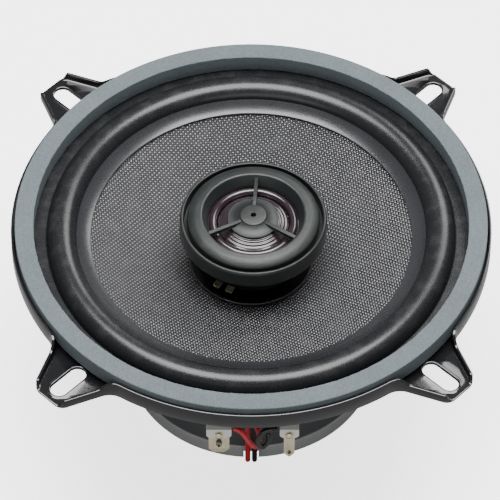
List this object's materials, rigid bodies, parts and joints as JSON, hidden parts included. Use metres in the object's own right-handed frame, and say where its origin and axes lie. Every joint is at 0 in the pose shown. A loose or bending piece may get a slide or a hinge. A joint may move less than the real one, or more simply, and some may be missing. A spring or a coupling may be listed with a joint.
{
  "type": "coaxial car speaker",
  "caption": "Round two-way coaxial car speaker with a woven cone, a dome tweeter on a centre post and a pressed steel basket with slotted ears.",
  "frame": {"origin": "centre of the rear plate's lower face, on the speaker's axis", "axes": "+Z along the speaker's axis, out of the cone's front; -Y towards the terminals"},
  "size_m": [0.1322, 0.1322, 0.0649],
  "materials": {
    "black_paint": "gloss",
    "gasket": "matte",
    "zinc_steel": "satin",
    "ferrite": "matte",
    "woven_cone": "woven, satin",
    "black_plastic": "satin",
    "surround_rubber": "satin",
    "spider_cloth": "matte",
    "coil_former": "satin",
    "copper": "satin",
    "sanded_plastic": "matte, fine sanded",
    "dome_film": "gloss",
    "nickel": "satin",
    "brass": "gloss",
    "capacitor_sleeve": "gloss",
    "clear_plastic": "gloss",
    "red_insulation": "satin",
    "black_insulation": "satin"
  },
  "bodies": {
    "frame": {"basket": "black_paint", "gasket": "gasket", "yoke": "zinc_steel", "magnet": "ferrite", "top_plate": "zinc_steel", "tweeter_post": "black_plastic", "post_nut": "black_plastic", "tweeter_housing": "black_plastic", "tweeter_face": "sanded_plastic", "tweeter_yoke": "zinc_steel", "tweeter_magnet": "nickel", "tweeter_pole_plate": "zinc_steel", "tweeter_tag_positive": "brass", "tweeter_tag_negative": "brass", "filter_capacitor": "capacitor_sleeve", "insulator_positive": "clear_plastic", "insulator_negative": "clear_plastic", "terminal_positive": "brass", "terminal_negative": "brass", "rivet_positive": "brass", "rivet_negative": "brass", "lead_red": "red_insulation", "lead_black": "black_insulation"},
    "cone_assembly": {"cone": "woven_cone", "neck_ring": "black_plastic", "surround": "surround_rubber", "spider": "spider_cloth", "voice_coil_former": "coil_former", "voice_coil_winding": "copper", "tinsel_lead_positive": "copper", "tinsel_lead_negative": "copper"},
    "tweeter_diaphragm": {"tweeter_dome": "dome_film", "tweeter_suspension": "dome_film", "tweeter_coil_former": "coil_former", "tweeter_coil_winding": "copper"}
  },
  "joints": [
    {"name": "cone_travel", "type": "slide", "parent": "frame", "child": "cone_assembly", "axis": [0, 0, 1], "range_m": [-0.003, 0.003], "stiffness_N_per_m": 1500, "deforming": ["surround", "spider", "tinsel_lead_positive", "tinsel_lead_negative"]},
    {"name": "dome_travel", "type": "slide", "parent": "frame", "child": "tweeter_diaphragm", "axis": [0, 0, 1], "range_m": [-0.0003, 0.0003], "stiffness_N_per_m": 3000, "deforming": ["tweeter_suspension"]}
  ]
}
